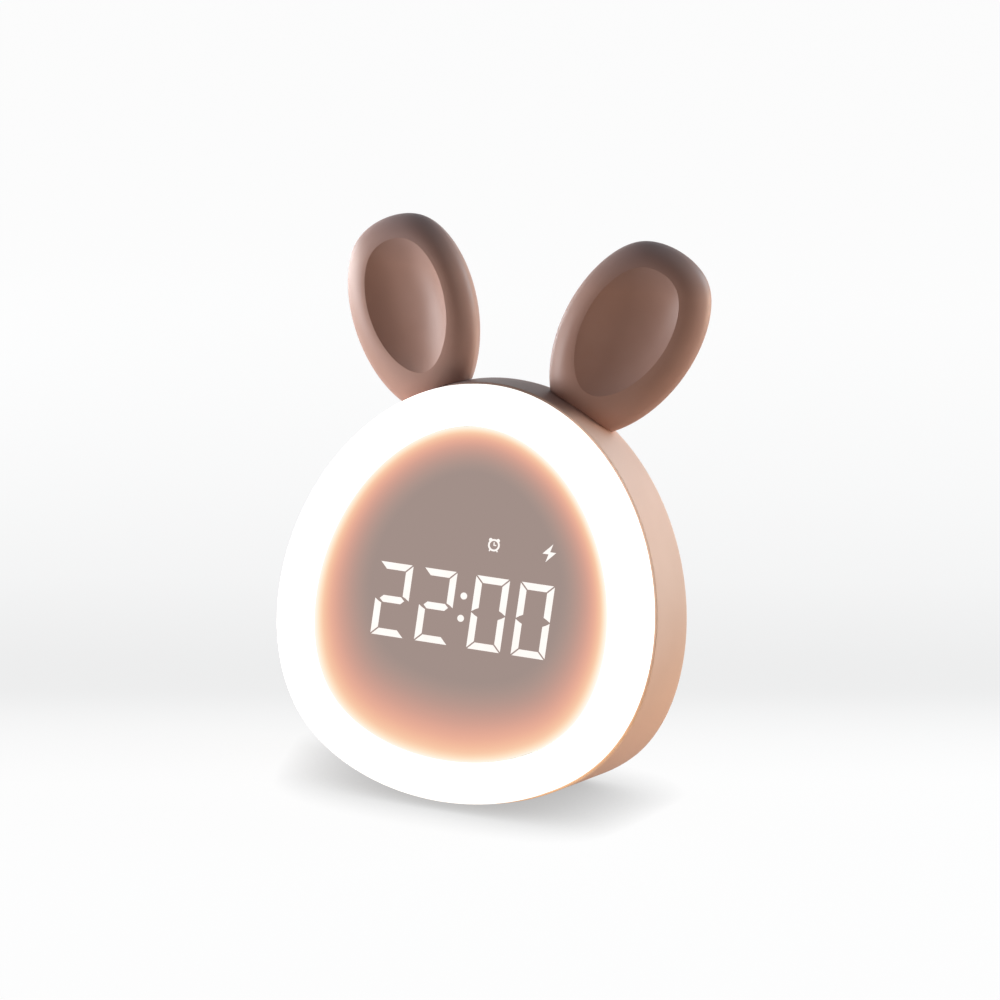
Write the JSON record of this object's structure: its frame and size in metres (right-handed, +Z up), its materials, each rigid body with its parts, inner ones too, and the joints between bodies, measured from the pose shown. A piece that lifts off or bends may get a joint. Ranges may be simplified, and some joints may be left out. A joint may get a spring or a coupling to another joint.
{
  "type": "rabbit-eared alarm clock with night light",
  "caption": "Egg-shaped bedside alarm clock with rabbit ears, a glowing ring round a smoked display, rear keys, loudspeaker and charging socket.",
  "frame": {"origin": "middle of the base pad's underside, on the table", "axes": "+X to the clock's left-to-right as seen from the front, +Y from the display to the back wall, +Z up"},
  "size_m": [0.1208, 0.0645, 0.1702],
  "materials": {
    "shell": "fine matt moulded",
    "ear": "satin moulded",
    "diffuser": "opal, lit from behind",
    "lens": "smoked mirror",
    "lit": "lit display segment",
    "white_abs": "moulded",
    "circuit": "solder mask",
    "led": "phosphor",
    "black_plastic": "moulded",
    "key": "satin moulded",
    "steel": "plated",
    "pad": "matt",
    "cell_wrap": "shrink sleeve",
    "cable": "insulation",
    "ribbon": "flat cable"
  },
  "bodies": {
    "clock": {"rear_shell": "shell", "base_pad": "pad", "ear_left": "ear", "ear_right": "ear", "ear_washers": "steel", "ear_screws": "steel", "light_ring": "diffuser", "display_lens": "lens", "lit_segments": "lit", "unlit_segments": "lens", "status_icons": "lit", "light_tray": "white_abs", "ring_board": "circuit", "ring_leds": "led", "display_box": "white_abs", "display_board": "circuit", "segment_leds": "led", "display_ribbon": "ribbon", "main_board": "circuit", "board_screws": "steel", "tact_switches": "black_plastic", "usb_socket": "steel", "usb_tongue": "black_plastic", "speaker_basket": "black_plastic", "speaker_cone": "black_plastic", "speaker_magnet": "steel", "speaker_leads": "cable", "lead_sockets": "white_abs", "battery_cradle": "white_abs", "battery_cell": "cell_wrap", "battery_strap": "black_plastic", "battery_leads": "cable", "case_screws": "steel"},
    "key_set": {"key_set": "key", "plunger_set": "black_plastic"},
    "key_down": {"key_down": "key", "plunger_down": "black_plastic"},
    "key_up": {"key_up": "key", "plunger_up": "black_plastic"},
    "key_light": {"key_light": "key", "plunger_light": "black_plastic"}
  },
  "joints": [
    {"name": "press_set", "type": "slide", "parent": "clock", "child": "key_set", "axis": [0, -1, 0], "range_m": [0, 0.0005], "stiffness_N_per_m": 600, "springref_m": -0.0015},
    {"name": "press_down", "type": "slide", "parent": "clock", "child": "key_down", "axis": [0, -1, 0], "range_m": [0, 0.0005], "stiffness_N_per_m": 600, "springref_m": -0.0015},
    {"name": "press_up", "type": "slide", "parent": "clock", "child": "key_up", "axis": [0, -1, 0], "range_m": [0, 0.0005], "stiffness_N_per_m": 600, "springref_m": -0.0015},
    {"name": "press_light", "type": "slide", "parent": "clock", "child": "key_light", "axis": [0, -1, 0], "range_m": [0, 0.0005], "stiffness_N_per_m": 600, "springref_m": -0.0015}
  ]
}
